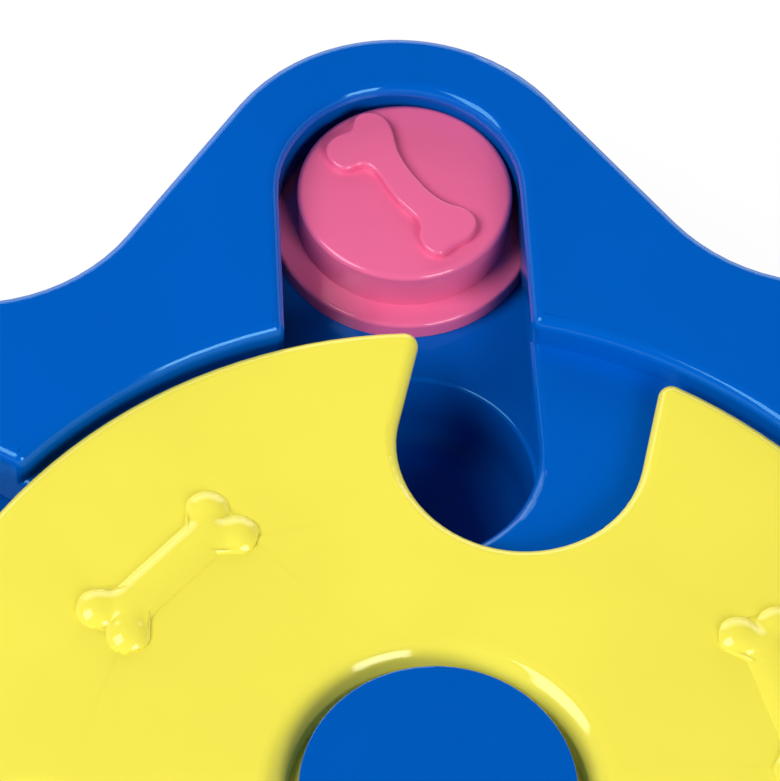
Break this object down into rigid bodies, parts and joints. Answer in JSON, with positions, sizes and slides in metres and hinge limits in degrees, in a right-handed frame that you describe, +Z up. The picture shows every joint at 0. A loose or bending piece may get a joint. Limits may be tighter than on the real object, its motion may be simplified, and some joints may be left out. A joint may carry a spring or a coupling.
{
  "type": "dog puzzle feeder toy",
  "caption": "Lobed dog puzzle feeder: a notched cover disc turns on a central hub over treat wells, and round pucks slide along radial channels to cover or free each well.",
  "frame": {"origin": "the middle of the plane that the rubber feet stand on, under the hub's axis", "axes": "+Z up along the disc's axis, +Y towards lobe 1, the lobe whose puck the picture shows; the lobes are numbered anticlockwise seen from above"},
  "size_m": [0.2578, 0.2876, 0.0351],
  "materials": {
    "base_blue": "smooth gloss",
    "disc_yellow": "smooth gloss",
    "puck_pink": "smooth gloss",
    "foot_rubber": "matt",
    "screw_steel": "zinc plated"
  },
  "bodies": {
    "base": {"base_deck": "base_blue", "base_plate": "base_blue", "hub_cap": "base_blue", "hub_screw": "screw_steel", "treat_tray_1": "base_blue", "treat_tray_2": "base_blue", "treat_tray_3": "base_blue", "treat_tray_4": "base_blue", "treat_tray_5": "base_blue", "treat_tray_6": "base_blue", "lane_guide_1": "base_blue", "lane_guide_2": "base_blue", "lane_guide_3": "base_blue", "lane_guide_4": "base_blue", "lane_guide_5": "base_blue", "lane_guide_6": "base_blue", "case_screw_1": "screw_steel", "case_screw_2": "screw_steel", "case_screw_3": "screw_steel", "case_screw_4": "screw_steel", "case_screw_5": "screw_steel", "case_screw_6": "screw_steel", "rubber_foot_1": "foot_rubber", "rubber_foot_2": "foot_rubber", "rubber_foot_3": "foot_rubber", "rubber_foot_4": "foot_rubber", "rubber_foot_5": "foot_rubber", "rubber_foot_6": "foot_rubber"},
    "disc": {"cover_disc": "disc_yellow"},
    "puck_1": {"slider_puck_1": "puck_pink"},
    "puck_2": {"slider_puck_2": "puck_pink"},
    "puck_3": {"slider_puck_3": "puck_pink"},
    "puck_4": {"slider_puck_4": "puck_pink"},
    "puck_5": {"slider_puck_5": "puck_pink"},
    "puck_6": {"slider_puck_6": "puck_pink"}
  },
  "joints": [
    {"name": "disc_spin", "type": "hinge", "parent": "base", "child": "disc", "pos_m": [0, 0, 0.03], "axis": [0, 0, 1], "continuous": true},
    {"name": "puck_1_slide", "type": "slide", "parent": "base", "child": "puck_1", "axis": [0, -1, 0], "range_m": [0, 0.05085]},
    {"name": "puck_2_slide", "type": "slide", "parent": "base", "child": "puck_2", "axis": [0.866, -0.5, 0], "range_m": [0, 0.05085]},
    {"name": "puck_3_slide", "type": "slide", "parent": "base", "child": "puck_3", "axis": [0.866, 0.5, 0], "range_m": [0, 0.05085]},
    {"name": "puck_4_slide", "type": "slide", "parent": "base", "child": "puck_4", "axis": [0, 1, 0], "range_m": [0, 0.05085]},
    {"name": "puck_5_slide", "type": "slide", "parent": "base", "child": "puck_5", "axis": [-0.866, 0.5, 0], "range_m": [0, 0.05085]},
    {"name": "puck_6_slide", "type": "slide", "parent": "base", "child": "puck_6", "axis": [-0.866, -0.5, 0], "range_m": [0, 0.05085]}
  ]
}
